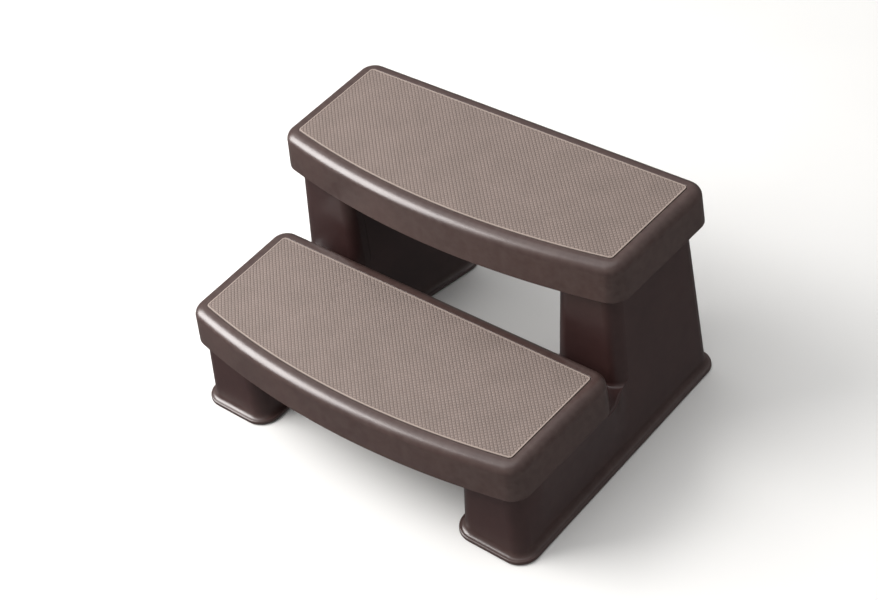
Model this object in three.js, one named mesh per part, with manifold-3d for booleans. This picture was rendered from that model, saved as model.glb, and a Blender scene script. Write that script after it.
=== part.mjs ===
// Two-step spa steps: two hollow side frames carry two identical skirted treads, each with an
// inlaid anti-slip mat. Screws driven up from inside the frames hold the treads, and press-in
// rubber feet stand under the frames.
// Millimetres. +Z up, +X to the right seen from the front, +Y towards the spa. The origin is on
// the floor, midway between the frames' front and rear foot rims.

import * as THREE from 'three';
import { mergeVertices } from 'three/addons/utils/BufferGeometryUtils.js';
import Module from 'manifold-3d';

const wasm = await Module();
wasm.setup();

// ---- Driving dimensions -------------------------------------------------------------------

const QUARTER = Math.PI / 2;
const GAP = 0.3; // clearance between touching pieces

// Treads. Each is drawn in its own frame: Z = 0 on its top face, Y = 0 on its mat's rear edge.
const LOWER_TOP = 246;
const UPPER_TOP = 462;
const LOWER_MAT_REAR = -29;
const UPPER_MAT_REAR = 299;

const MAT_HALF_WIDTH = 379;
const MAT_DEPTH_AT_SIDES = 237;
const MAT_BOW = 41; // how far the front edge bulges in the middle
const MAT_CORNER = 8;
const MAT_PROUD = 1;
const MAT_CORNER_STEPS = 6;
const BOW_STEPS = 14;
const RECESS_DEPTH = 3.3;
const RECESS_GAP = 1;

const TREAD_BORDER = 8; // flat rim around the mat
const TREAD_ROUND = 20; // rounded top edge
const TREAD_HEIGHT = 80; // top face to the bottom of the skirt
const TREAD_DRAFT = 4; // how far the skirt flares on each side
const TREAD_TAPER = 3.3; // the sides spread by this much from mid-depth to the rear edge
const TREAD_WALL = 3.5;
const PLATE = 4.2; // thickness under the mat recess

const RIB = 3;
const RIB_OVERLAP = 1; // how far ribs run into the walls they join
const RIB_DEPTH = 40; // under the tread, measured from the top face
const CROSS_RIB_DEPTH = 42;
const RIB_SPAN = 196; // half length of the deep ribs, clear of the frames
const RIB_ROWS = [0.2, 0.5, 0.8]; // shares of the tread's depth
const RIB_COLUMNS = [-1, -0.5, 0, 0.5, 1]; // shares of the half length
const SEAT_DEPTH = 20; // top face down to the frame's deck
const SEAT_X = 318; // centre of the seats and screws over each frame
const SEAT_HALF = 44;
const SEAT_WEB_HALF = 30;
const PILOT_FLOOR = 1.8; // material left between a pilot hole and the mat recess

// Side frames, drawn as the right one. Widths and depths are at floor level; the walls lean in.
const FRAME_WIDTH = 150; // nominal, before the sides are tapered
const FRAME_FRONT = -297;
const FRAME_REAR = 327.5;
const FRAME_WALL = 4;
const FRAME_CORNER = 30;
const FRAME_CORNER_STEPS = 4;
const OUTER_X = 409.5; // at the rear
const OUTER_TAPER = 0.013; // the outer side runs in slightly towards the front
const INNER_X = 251; // at the front foot
const INNER_TAPER = 0.03; // the frame widens inwards towards the rear
const INNER_SPLAY = 0.16; // and widens faster behind the front of the column
const WALL_DRAFT = 0.058;
const LEG_REAR = -12;
const COLUMN_FRONT = 25;

const RIM_REACH = 12; // foot rim beyond the wall
const RIM_HEIGHT = 15;
const RIM_ROUND = 6;
const RIM_STEPS = 2;

const FOOT_HEIGHT = 2;
const FOOT_RADIUS = 4.5;
const STEM_RADIUS = 2.5;
const STEM_LENGTH = 8;
const FOOT_CHAMFER = 0.8;
const SOCKET_SIDES = 8;
const FOOT_Y = [-232, 266];

const SCREW_HEAD_RADIUS = 6.5;
const SCREW_HEAD_HEIGHT = 3.6;
const SCREW_HEAD_CROWN = 0.7; // radius of the head's flat end against its full radius
const SCREW_HEAD_EDGE = 0.4; // height of the head's widest edge against its full height
const SCREW_POINT = 2;
const SCREW_RADIUS = 2.5;
const SCREW_LENGTH = 14;
const SCREW_CLEARANCE = 0.6;
const SCREW_Y = [-196, -52]; // from the mat's rear edge
const BOSS_RADIUS = 8;
const HOLE_SIDES = 12;
const TURNED_SIDES = 16;

const EDGE_START = 0.12; // the rounding's cutter starts this many radians outside the wall
const EDGE_STEPS = 5;
const OVERCUT = 5; // how far cutting bodies run past the faces they open
const CAVITY_BOTTOM = -60;
const FAR = 600; // reaches past the whole object
const FRAME_BOTTOM = FOOT_HEIGHT + GAP;
const SADDLE_Z = LOWER_TOP - TREAD_HEIGHT - GAP; // top of the body between the two pedestals
const SKIRT_OFFSET = TREAD_BORDER + TREAD_ROUND;

// ---- Solids ---------------------------------------------------------------------------------

function solid(geometry) {
  const bare = geometry.index ? geometry.toNonIndexed() : geometry.clone();
  bare.deleteAttribute('normal');
  bare.deleteAttribute('uv');
  const merged = mergeVertices(bare, 1e-4);
  return new wasm.Manifold(new wasm.Mesh({
    numProp: 3,
    vertProperties: new Float32Array(merged.attributes.position.array),
    triVerts: new Uint32Array(merged.index.array),
  }));
}

function geometryOf(body) {
  const mesh = body.getMesh();
  const geometry = new THREE.BufferGeometry();
  geometry.setAttribute('position', new THREE.BufferAttribute(mesh.vertProperties, 3));
  geometry.setIndex(new THREE.BufferAttribute(mesh.triVerts, 1));
  const flat = geometry.toNonIndexed();
  flat.computeVertexNormals();
  return flat;
}

function prism(shape, bottom, top) {
  const geometry = new THREE.ExtrudeGeometry(shape, { depth: top - bottom, bevelEnabled: false });
  return geometry.translate(0, 0, bottom);
}

function block(x, y, z) {
  const geometry = new THREE.BoxGeometry(x[1] - x[0], y[1] - y[0], z[1] - z[0]);
  geometry.translate((x[0] + x[1]) / 2, (y[0] + y[1]) / 2, (z[0] + z[1]) / 2);
  return solid(geometry);
}

function drum(radius, x, y, z, sides) {
  const geometry = new THREE.CylinderGeometry(radius, radius, z[1] - z[0], sides);
  return solid(geometry.rotateX(QUARTER).translate(x, y, (z[0] + z[1]) / 2));
}

// Points along an arc, from one angle to another, both ends included.
function arc(centreX, centreY, radius, from, to, steps) {
  const points = [];
  for (let i = 0; i <= steps; i += 1) {
    const angle = from + ((to - from) * i) / steps;
    points.push(new THREE.Vector2(
      centreX + radius * Math.cos(angle),
      centreY + radius * Math.sin(angle),
    ));
  }
  return points;
}

function moveVertices(geometry, rule) {
  const position = geometry.attributes.position;
  const point = new THREE.Vector3();
  for (let i = 0; i < position.count; i += 1) {
    point.fromBufferAttribute(position, i);
    rule(point);
    position.setXYZ(i, point.x, point.y, point.z);
  }
  return geometry;
}

// ---- Treads and mats --------------------------------------------------------------------------

const BOW_RADIUS = (MAT_HALF_WIDTH ** 2 + MAT_BOW ** 2) / (2 * MAT_BOW);
const BOW_CENTRE = BOW_RADIUS - MAT_DEPTH_AT_SIDES - MAT_BOW;
const MAT_CENTRE = -(MAT_DEPTH_AT_SIDES + MAT_BOW) / 2;

// The whole tread spreads slightly towards the rear.
function taperTread(geometry) {
  return moveVertices(geometry, (p) => {
    const share = (2 * p.y) / MAT_DEPTH_AT_SIDES + 1;
    p.x *= 1 + (TREAD_TAPER * share) / MAT_HALF_WIDTH;
  });
}

// The mat's outline grown by an offset: straight rear and sides, one shallow arc in front.
function treadOutline(offset) {
  const corner = MAT_CORNER + offset;
  const cornerX = MAT_HALF_WIDTH - MAT_CORNER;
  const reach = BOW_RADIUS - MAT_CORNER;
  const frontCornerY = BOW_CENTRE - Math.sqrt(reach ** 2 - cornerX ** 2);
  const lean = Math.asin(cornerX / reach);
  const reachOut = BOW_RADIUS + offset;
  return new THREE.Shape([
    ...arc(cornerX, -MAT_CORNER, corner, 0, QUARTER, MAT_CORNER_STEPS),
    ...arc(-cornerX, -MAT_CORNER, corner, QUARTER, 2 * QUARTER, MAT_CORNER_STEPS),
    ...arc(-cornerX, frontCornerY, corner, -2 * QUARTER, -QUARTER - lean, MAT_CORNER_STEPS),
    ...arc(0, BOW_CENTRE, reachOut, -QUARTER - lean, -QUARTER + lean, BOW_STEPS).slice(1, -1),
    ...arc(cornerX, frontCornerY, corner, -QUARTER + lean, 0, MAT_CORNER_STEPS),
  ]);
}

// A rounded cap whose sides flare downwards from the foot of the rounding.
function cap(offset, round, top, bottom) {
  const geometry = new THREE.ExtrudeGeometry(treadOutline(offset), {
    depth: top - bottom,
    bevelThickness: round,
    bevelSize: round,
    bevelOffset: -round,
    bevelSegments: 5,
  });
  geometry.translate(0, 0, bottom - round);
  const flareTop = -TREAD_ROUND;
  const flareHeight = TREAD_HEIGHT - TREAD_ROUND;
  moveVertices(geometry, (p) => {
    const flare = (TREAD_DRAFT * Math.max(0, flareTop - p.z)) / flareHeight;
    p.x *= 1 + flare / (MAT_HALF_WIDTH + SKIRT_OFFSET);
    p.y = MAT_CENTRE + (p.y - MAT_CENTRE) * (1 - flare / (MAT_CENTRE - SKIRT_OFFSET));
  });
  return solid(taperTread(geometry));
}

function around(centre, half) {
  return [centre - half, centre + half];
}

function makeTread() {
  const below = block([-FAR, FAR], [-FAR, FAR], [-FAR, -TREAD_HEIGHT]);
  const underside = -RECESS_DEPTH - PLATE;
  const outer = cap(SKIRT_OFFSET, TREAD_ROUND, 0, -2 * TREAD_HEIGHT).subtract(below);
  const inner = cap(
    SKIRT_OFFSET - TREAD_WALL,
    TREAD_ROUND - TREAD_WALL,
    underside,
    -2 * TREAD_HEIGHT,
  );
  const recess = solid(taperTread(prism(treadOutline(RECESS_GAP), -RECESS_DEPTH, OVERCUT)));
  let tread = outer.subtract(inner).subtract(recess);

  const inset = RIB_OVERLAP;
  const envelope = cap(SKIRT_OFFSET - inset, TREAD_ROUND - inset, -inset, -2 * TREAD_HEIGHT);
  const front = BOW_CENTRE - BOW_RADIUS - TREAD_BORDER;
  const deep = [-RIB_DEPTH, underside + RIB_OVERLAP / 2];
  const shallow = [-SEAT_DEPTH + GAP, underside + RIB_OVERLAP / 2];
  let ribs = block([-RIB_SPAN, RIB_SPAN], around(front * RIB_ROWS[0], RIB / 2), deep);
  for (const share of RIB_ROWS.slice(1)) {
    ribs = ribs.add(block([-RIB_SPAN, RIB_SPAN], around(front * share, RIB / 2), deep));
  }
  for (const share of RIB_COLUMNS) {
    const depth = [front - SKIRT_OFFSET, SKIRT_OFFSET];
    const height = [-CROSS_RIB_DEPTH, underside + RIB_OVERLAP];
    ribs = ribs.add(block(around(share * RIB_SPAN, RIB / 2), depth, height));
  }
  const places = [-SEAT_X, SEAT_X].flatMap((x) => SCREW_Y.map((y) => [x, y]));
  for (const [x, y] of places) {
    ribs = ribs.add(block(around(x, SEAT_HALF), around(y, RIB / 2), shallow));
    ribs = ribs.add(block(around(x, RIB / 2), around(y, SEAT_WEB_HALF), shallow));
    ribs = ribs.add(drum(BOSS_RADIUS, x, y, shallow, TURNED_SIDES));
  }
  tread = tread.add(ribs.intersect(envelope));
  for (const [x, y] of places) {
    const height = [shallow[0] - OVERCUT, -RECESS_DEPTH - PILOT_FLOOR];
    tread = tread.subtract(drum(SCREW_RADIUS + GAP, x, y, height, HOLE_SIDES));
  }
  return geometryOf(tread);
}

function makeMat() {
  return taperTread(prism(treadOutline(0), -RECESS_DEPTH + GAP, MAT_PROUD));
}

// ---- Side frames --------------------------------------------------------------------------------

// A rounded rectangle from front to rear, pulled in by an inset on every side. Its inner side has
// one more point, where the frame starts to splay.
function frameOutline(inset) {
  const corner = FRAME_CORNER - inset;
  const low = [FRAME_CORNER, FRAME_FRONT + FRAME_CORNER];
  const high = [FRAME_WIDTH - FRAME_CORNER, FRAME_REAR - FRAME_CORNER];
  return new THREE.Shape([
    ...arc(high[0], high[1], corner, 0, QUARTER, FRAME_CORNER_STEPS),
    ...arc(low[0], high[1], corner, QUARTER, 2 * QUARTER, FRAME_CORNER_STEPS),
    new THREE.Vector2(inset, COLUMN_FRONT),
    ...arc(low[0], low[1], corner, 2 * QUARTER, 3 * QUARTER, FRAME_CORNER_STEPS),
    ...arc(high[0], low[1], corner, 3 * QUARTER, 4 * QUARTER, FRAME_CORNER_STEPS),
  ]);
}

function innerX(y, z) {
  const splay = INNER_SPLAY * Math.max(0, y - COLUMN_FRONT);
  return INNER_X - INNER_TAPER * (y - FRAME_FRONT) - splay + WALL_DRAFT * z;
}

function outerX(y, z) {
  return OUTER_X - OUTER_TAPER * (FRAME_REAR - y) - WALL_DRAFT * z;
}

// Leans the walls of an upright block drawn from X = 0 to the nominal width. Every wall stays flat
// and every offset from the nominal outline is kept.
function lean(geometry) {
  return moveVertices(geometry, (p) => {
    const shift = WALL_DRAFT * p.z;
    if (p.y < LEG_REAR) {
      p.y += shift;
    } else if (p.y > COLUMN_FRONT + FRAME_CORNER) {
      p.y -= shift;
    }
    const fromOuter = p.x - FRAME_WIDTH;
    const isInner = p.x < FRAME_WIDTH / 2;
    p.x = isInner ? innerX(p.y, p.z) + p.x : outerX(p.y, p.z) + fromOuter;
  });
}

function footRim() {
  const geometry = new THREE.ExtrudeGeometry(frameOutline(-RIM_REACH), {
    depth: RIM_HEIGHT - 2 * RIM_ROUND,
    bevelThickness: RIM_ROUND,
    bevelSize: RIM_ROUND,
    bevelOffset: -RIM_ROUND,
    bevelSegments: RIM_STEPS,
  });
  return solid(lean(geometry.translate(0, 0, FRAME_BOTTOM + RIM_ROUND)));
}

function rimCentre(y, outside) {
  const middle = (RIM_REACH - RIM_ROUND - FRAME_WALL) / 2;
  return outside ? outerX(y, 0) + middle : innerX(y, 0) - middle;
}

function deckZ(top) {
  return top - SEAT_DEPTH;
}

const TREADS = [
  { tread: 'lower', top: LOWER_TOP, rear: LOWER_MAT_REAR },
  { tread: 'upper', top: UPPER_TOP, rear: UPPER_MAT_REAR },
];

// The space above the leg's deck and the saddle, in front of the column. Grown, it is what the
// cavity leaves standing as the walls behind those faces.
function notch(grown) {
  const low = SADDLE_Z - grown;
  const deck = deckZ(LOWER_TOP) - grown;
  const high = UPPER_TOP;
  const profile = new THREE.Shape([
    new THREE.Vector2(-FAR, deck),
    new THREE.Vector2(LEG_REAR - grown - WALL_DRAFT * deck, deck),
    new THREE.Vector2(LEG_REAR - grown - WALL_DRAFT * low, low),
    new THREE.Vector2(COLUMN_FRONT + grown + WALL_DRAFT * low, low),
    new THREE.Vector2(COLUMN_FRONT + grown + WALL_DRAFT * high, high),
    new THREE.Vector2(-FAR, high),
  ]);
  const sideways = new THREE.Matrix4().set(0, 0, 1, 0, 1, 0, 0, 0, 0, 1, 0, 0, 0, 0, 0, 1);
  return solid(prism(profile, 0, FAR).applyMatrix4(sideways));
}

// What rounding takes off one front edge of the column; side is 1 outside and -1 inside.
function columnEdge(side, radius, low) {
  const centreY = COLUMN_FRONT + FRAME_CORNER;
  const wallX = side > 0 ? outerX(centreY, 0) : innerX(centreY, 0);
  const centreX = wallX - side * FRAME_CORNER;
  const far = 2 * FRAME_CORNER;
  const points = arc(0, 0, radius, EDGE_START, -QUARTER - EDGE_START, EDGE_STEPS);
  const outline = [new THREE.Vector2(far, points[0].y), ...points];
  outline.push(new THREE.Vector2(points.at(-1).x, -far), new THREE.Vector2(far, -far));
  const placed = outline.map((p) => new THREE.Vector2(centreX + side * p.x, centreY + p.y));
  const geometry = prism(new THREE.Shape(placed), low, UPPER_TOP);
  moveVertices(geometry, (p) => {
    p.x -= side * WALL_DRAFT * p.z;
    p.y += WALL_DRAFT * p.z;
  });
  return solid(geometry);
}

// The outer or the inner skin's volume: one leaning block less the notch and the rounded edges.
function skin(inset, bottom) {
  const top = deckZ(UPPER_TOP) - inset;
  let body = solid(lean(prism(frameOutline(inset), bottom, top)));
  body = body.subtract(notch(inset));
  for (const side of [-1, 1]) {
    body = body.subtract(columnEdge(side, FRAME_CORNER - inset, SADDLE_Z - inset));
  }
  return body;
}

function makeFrame() {
  let body = footRim().add(skin(0, FRAME_BOTTOM + RIM_ROUND)).subtract(skin(FRAME_WALL, CAVITY_BOTTOM));
  for (const { top, rear } of TREADS) {
    for (const y of SCREW_Y) {
      const deck = [deckZ(top) - FRAME_WALL - OVERCUT, deckZ(top) + OVERCUT];
      const radius = SCREW_RADIUS + SCREW_CLEARANCE;
      body = body.subtract(drum(radius, SEAT_X, rear + y, deck, HOLE_SIDES));
    }
  }
  for (const y of FOOT_Y) {
    for (const outside of [false, true]) {
      const depth = [-OVERCUT, FRAME_BOTTOM + STEM_LENGTH + GAP];
      const x = rimCentre(y, outside);
      body = body.subtract(drum(STEM_RADIUS + GAP, x, y, depth, SOCKET_SIDES));
    }
  }
  return body;
}

function mirrored(body) {
  const geometry = geometryOf(body);
  const position = geometry.attributes.position;
  const flipped = new Float32Array(position.array.length);
  for (let i = 0; i < position.count; i += 3) {
    for (let k = 0; k < 3; k += 1) {
      const from = i + [0, 2, 1][k];
      flipped[3 * (i + k)] = -position.getX(from);
      flipped[3 * (i + k) + 1] = position.getY(from);
      flipped[3 * (i + k) + 2] = position.getZ(from);
    }
  }
  const result = new THREE.BufferGeometry();
  result.setAttribute('position', new THREE.BufferAttribute(flipped, 3));
  result.computeVertexNormals();
  return result;
}

// ---- Fasteners and feet ---------------------------------------------------------------------------

// Turned about Z, with Z = 0 at the underside of the deck and the head below it.
function makeScrew() {
  const head = -SCREW_HEAD_HEIGHT;
  const profile = [
    [0, head],
    [SCREW_HEAD_RADIUS * SCREW_HEAD_CROWN, head],
    [SCREW_HEAD_RADIUS, head * SCREW_HEAD_EDGE],
    [SCREW_HEAD_RADIUS, -GAP],
    [SCREW_RADIUS, -GAP],
    [SCREW_RADIUS, SCREW_LENGTH - SCREW_POINT],
    [0, SCREW_LENGTH],
  ];
  return turned(profile);
}

function makeFoot() {
  const profile = [
    [0, 0],
    [FOOT_RADIUS - FOOT_CHAMFER, 0],
    [FOOT_RADIUS, FOOT_CHAMFER],
    [FOOT_RADIUS, FOOT_HEIGHT],
    [STEM_RADIUS, FOOT_HEIGHT],
    [STEM_RADIUS, FOOT_HEIGHT + STEM_LENGTH - FOOT_CHAMFER],
    [STEM_RADIUS - FOOT_CHAMFER, FOOT_HEIGHT + STEM_LENGTH],
    [0, FOOT_HEIGHT + STEM_LENGTH],
  ];
  return turned(profile);
}

function turned(profile) {
  const points = profile.map(([radius, height]) => new THREE.Vector2(radius, height));
  const geometry = new THREE.LatheGeometry(points, TURNED_SIDES);
  return geometryOf(solid(geometry.rotateX(QUARTER)));
}

// ---- Materials and assembly -------------------------------------------------------------------------

const MATERIALS = {
  body: { color: '#4a3634', roughness: 0.42, metalness: 0 },
  mat: { color: '#a3968f', roughness: 0.85, metalness: 0 },
  steel: { color: '#b4b6b8', roughness: 0.35, metalness: 1 },
  rubber: { color: '#1c1b1b', roughness: 0.9, metalness: 0 },
};

const steps = new THREE.Group();

function place(name, geometry, material, x, y, z) {
  const mesh = new THREE.Mesh(geometry, new THREE.MeshStandardMaterial(MATERIALS[material]));
  mesh.name = name;
  mesh.position.set(x, y, z);
  steps.add(mesh);
}

const frame = makeFrame();
place('right_side_frame', geometryOf(frame), 'body', 0, 0, 0);
place('left_side_frame', mirrored(frame), 'body', 0, 0, 0);

const tread = makeTread();
const mat = makeMat();
const screw = makeScrew();
const foot = makeFoot();

for (const { tread: name, top, rear } of TREADS) {
  place(`${name}_tread`, tread.clone(), 'body', 0, rear, top);
  place(`${name}_tread_mat`, mat.clone(), 'mat', 0, rear, top);
  const deckUnderside = deckZ(top) - FRAME_WALL;
  for (const [side, sign] of [['left', -1], ['right', 1]]) {
    for (const [end, y] of [['front', SCREW_Y[0]], ['rear', SCREW_Y[1]]]) {
      const label = `${name}_tread_screw_${side}_${end}`;
      place(label, screw.clone(), 'steel', sign * SEAT_X, rear + y, deckUnderside);
    }
  }
}

for (const [side, sign] of [['left', -1], ['right', 1]]) {
  for (const [end, y] of [['front', FOOT_Y[0]], ['rear', FOOT_Y[1]]]) {
    for (const [flank, outside] of [['inner', false], ['outer', true]]) {
      const x = sign * rimCentre(y, outside);
      place(`foot_${side}_${end}_${flank}`, foot.clone(), 'rubber', x, y, 0);
    }
  }
}

export default steps;
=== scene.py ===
"""The looks of a set of spa steps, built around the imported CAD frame. Lengths are in metres."""

import math

import bmesh
import bpy
from mathutils import Matrix, Vector


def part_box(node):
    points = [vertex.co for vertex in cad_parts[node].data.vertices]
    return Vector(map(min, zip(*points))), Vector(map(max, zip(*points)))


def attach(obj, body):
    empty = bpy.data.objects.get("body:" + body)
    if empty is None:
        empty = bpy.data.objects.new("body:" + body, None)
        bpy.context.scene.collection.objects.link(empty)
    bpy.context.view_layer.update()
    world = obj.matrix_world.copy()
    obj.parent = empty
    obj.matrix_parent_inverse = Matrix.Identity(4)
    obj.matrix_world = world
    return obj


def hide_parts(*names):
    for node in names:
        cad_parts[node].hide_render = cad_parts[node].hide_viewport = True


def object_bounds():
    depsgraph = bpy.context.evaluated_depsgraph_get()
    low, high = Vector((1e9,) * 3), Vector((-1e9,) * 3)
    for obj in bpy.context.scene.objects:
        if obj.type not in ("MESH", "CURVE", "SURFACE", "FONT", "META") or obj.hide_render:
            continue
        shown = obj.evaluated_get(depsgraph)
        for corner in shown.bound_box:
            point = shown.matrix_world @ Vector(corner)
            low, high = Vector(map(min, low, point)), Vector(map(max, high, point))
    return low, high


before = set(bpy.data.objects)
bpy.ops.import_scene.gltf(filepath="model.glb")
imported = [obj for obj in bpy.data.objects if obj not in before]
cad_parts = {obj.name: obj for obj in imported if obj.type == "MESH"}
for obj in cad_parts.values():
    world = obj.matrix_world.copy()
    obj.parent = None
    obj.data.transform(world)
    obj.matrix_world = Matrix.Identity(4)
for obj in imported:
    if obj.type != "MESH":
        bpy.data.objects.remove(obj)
CAD_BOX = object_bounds()

# ---- Driving sizes ---------------------------------------------------------------------------

MM = 0.001
QUARTER = math.pi / 2
GAP = 0.3 * MM  # clearance between pieces
OVERCUT = 5 * MM  # how far drills run past what they open
FAR = 1  # reaches past the whole object
JOIN = 0.001 * MM  # a new body's vertices closer than this are made one
WELD = 0.002 * MM  # and those of a finished body
CREASE = 34  # edges flatter than this, in degrees, are shaded smooth
CAP_INSET = 5 * MM  # a flat face is capped from this far inside its outline

# Treads. Each is drawn with Z = 0 on its top face and Y = 0 on its mat's rear edge.
MAT_LOW, MAT_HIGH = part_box("upper_tread_mat")
TREAD_LOW, TREAD_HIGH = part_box("upper_tread")
TREAD_TAPER = 3.3 * MM  # each side spreads by this much from mid-depth to the rear edge
MAT_BOW = 41 * MM  # how far the front edge bulges in the middle
MAT_CORNER = 8 * MM
MAT_DEPTH = MAT_HIGH.y - MAT_LOW.y - MAT_BOW  # at the sides
MAT_HALF = MAT_HIGH.x - TREAD_TAPER
MAT_THICKNESS = MAT_HIGH.z - MAT_LOW.z
MAT_PROUD = MAT_HIGH.z - TREAD_HIGH.z
BORDER = 8 * MM  # flat rim around the mat
ROUND = 20 * MM  # rounded top edge
REACH = BORDER + ROUND  # from the mat's outline to the skirt
SKIRT_HEIGHT = TREAD_HIGH.z - TREAD_LOW.z
SKIRT_DRAFT = 4 * MM  # how far the skirt flares on each side
TREAD_WALL = 3.5 * MM
RECESS_DEPTH = 3.3 * MM
PLATE = 4.2 * MM  # thickness under the mat's recess
BOW_RADIUS = (MAT_HALF**2 + MAT_BOW**2) / (2 * MAT_BOW)
BOW_CENTRE = BOW_RADIUS - MAT_DEPTH - MAT_BOW

# Side frames, drawn as the right one. Plan sizes are at floor level; the walls lean in.
FRAME_LOW, FRAME_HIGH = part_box("right_side_frame")
FRAME_WIDTH = 150 * MM  # nominal, before the sides are tapered
FRAME_CORNER = 30 * MM
FRAME_WALL = 4 * MM
RIM_REACH = 12 * MM  # foot rim beyond the wall
RIM_WIDEST = 8.3 * MM  # level at which the CAD rim reaches furthest
DRAFT = 0.058  # lean of the walls
OUTER_X = 409.5 * MM  # at the rear
OUTER_TAPER = 0.013  # the outer side runs in slightly towards the front
INNER_X = 251 * MM  # at the front
INNER_TAPER = 0.03  # the frame widens inwards towards the rear
INNER_SPLAY = 0.16  # and widens faster behind the front of the column
SPLAY_BLEND = 12 * MM
FRONT_Y = FRAME_LOW.y + RIM_REACH - DRAFT * RIM_WIDEST
REAR_Y = FRAME_HIGH.y - RIM_REACH + DRAFT * RIM_WIDEST
LEG_REAR = -12 * MM
COLUMN_FRONT = 25 * MM
FRAME_BOTTOM = FRAME_LOW.z
SADDLE_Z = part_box("lower_tread")[0].z - GAP  # top of the frame between leg and column
UPPER_DECK = FRAME_HIGH.z
SEAT_DEPTH = TREAD_HIGH.z - UPPER_DECK  # from a tread's top face down to the deck it sits on
LOWER_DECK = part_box("lower_tread")[1].z - SEAT_DEPTH

# Screws, placed from the middle of each mat's rear edge.
SCREW_LOW, SCREW_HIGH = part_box("upper_tread_screw_right_rear")
SCREW_HEAD = (SCREW_HIGH.x - SCREW_LOW.x) / 2
SCREW_SHANK = 2.5 * MM
SCREW_CLEARANCE = 0.6 * MM
SEAT_X = (SCREW_LOW.x + SCREW_HIGH.x) / 2
SCREW_ROWS = [
    (box[0].y + box[1].y) / 2 - MAT_HIGH.y
    for box in (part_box("upper_tread_screw_right_front"), (SCREW_LOW, SCREW_HIGH))
]
SCREW_PLACES = [(side * SEAT_X, y) for side in (-1, 1) for y in SCREW_ROWS]
STEM_RADIUS = 2.5 * MM  # of a foot


# ---- Mesh helpers ----------------------------------------------------------------------------


def arc(centre, radius, start, end, steps):
    """(x, y, outward x, outward y) along an arc, both ends included."""
    points = []
    for i in range(steps + 1):
        angle = start + (end - start) * i / steps
        out = (math.cos(angle), math.sin(angle))
        points.append((centre[0] + radius * out[0], centre[1] + radius * out[1], *out))
    return points


def between(a, b, steps):
    """Points strictly between two outline points, sharing the first one's outward direction."""
    return [
        (a[0] + (b[0] - a[0]) * i / steps, a[1] + (b[1] - a[1]) * i / steps, a[2], a[3])
        for i in range(1, steps)
    ]


def quarter_round(centre, radius, start, end, steps):
    """(offset, height) along an arc of a profile."""
    return [(offset, height) for offset, height, _, _ in arc(centre, radius, start, end, steps)]


def unit_circle(sides):
    turns = [2 * math.pi * k / sides for k in range(sides)]
    return [(math.cos(turn), math.sin(turn)) for turn in turns]


def step(value, start, end):
    """Rises smoothly from 0 at start to 1 at end."""
    share = min(1, max(0, (value - start) / (end - start)))
    return share * share * (3 - 2 * share)


def weld(mesh, distance, turn_outwards=False):
    """Merges near-coincident vertices, such as the ones that booleans leave."""
    work = bmesh.new()
    work.from_mesh(mesh)
    bmesh.ops.remove_doubles(work, verts=work.verts, dist=distance)
    if turn_outwards:
        bmesh.ops.recalc_face_normals(work, faces=work.faces)
    work.to_mesh(mesh)
    work.free()


def mesh_object(name, vertices, faces):
    """A linked object with its normals facing out."""
    mesh = bpy.data.meshes.new(name)
    mesh.from_pydata(vertices, [], faces)
    weld(mesh, JOIN, turn_outwards=True)
    piece = bpy.data.objects.new(name, mesh)
    bpy.context.scene.collection.objects.link(piece)
    return piece


def evaluated_mesh(piece):
    """A copy of the piece's mesh with its modifiers applied."""
    graph = bpy.context.evaluated_depsgraph_get()
    return bpy.data.meshes.new_from_object(piece.evaluated_get(graph))


def combine(piece, cutter, operation):
    """Applies one boolean and removes the cutter."""
    modifier = piece.modifiers.new("join", "BOOLEAN")
    modifier.operation = operation
    modifier.solver = "MANIFOLD"
    modifier.object = cutter
    mesh = evaluated_mesh(piece)
    piece.modifiers.clear()
    piece.data = mesh
    bpy.data.objects.remove(cutter)
    return piece


def smoothed(piece, crease=CREASE):
    """Shades smooth every edge flatter than the crease. Returns the bare mesh."""
    weld(piece.data, WELD)
    piece.data.shade_smooth()
    piece.data.set_sharp_from_angle(angle=math.radians(crease))
    weighting = piece.modifiers.new("weighting", "WEIGHTED_NORMAL")
    weighting.keep_sharp = True
    weighting.weight = 100
    mesh = evaluated_mesh(piece)
    bpy.data.objects.remove(piece)
    return mesh


def box_object(low, high):
    vertices = [(x, y, z) for x in (low[0], high[0]) for y in (low[1], high[1]) for z in (low[2], high[2])]
    sides = ((0, 1, 3, 2), (4, 6, 7, 5), (0, 4, 5, 1), (2, 3, 7, 6), (0, 2, 6, 4), (1, 5, 7, 3))
    return mesh_object("box", vertices, sides)


def add_lathe(vertices, faces, centre, profile, sides):
    """A closed turned body; the profile's first and last points are on the axis."""
    rings = []
    for radius, height in profile:
        if radius == 0:
            rings.append([len(vertices)])
            vertices.append((*centre, height))
            continue
        rings.append(list(range(len(vertices), len(vertices) + sides)))
        for a, b in unit_circle(sides):
            vertices.append((centre[0] + radius * a, centre[1] + radius * b, height))
    for low, high in zip(rings, rings[1:]):
        for i in range(sides):
            j = (i + 1) % sides
            if len(low) == 1:
                faces.append([low[0], high[j], high[i]])
            elif len(high) == 1:
                faces.append([low[i], low[j], high[0]])
            else:
                faces.append([low[i], low[j], high[j], high[i]])


def add_drum(vertices, faces, centre, radius, low, high, sides):
    """An upright cylinder."""
    profile = [(0, low), (radius, low), (radius, high), (0, high)]
    add_lathe(vertices, faces, centre, profile, sides)


def lathe_object(name, profile, sides):
    vertices = []
    faces = []
    add_lathe(vertices, faces, (0, 0), profile, sides)
    return mesh_object(name, vertices, faces)


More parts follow.
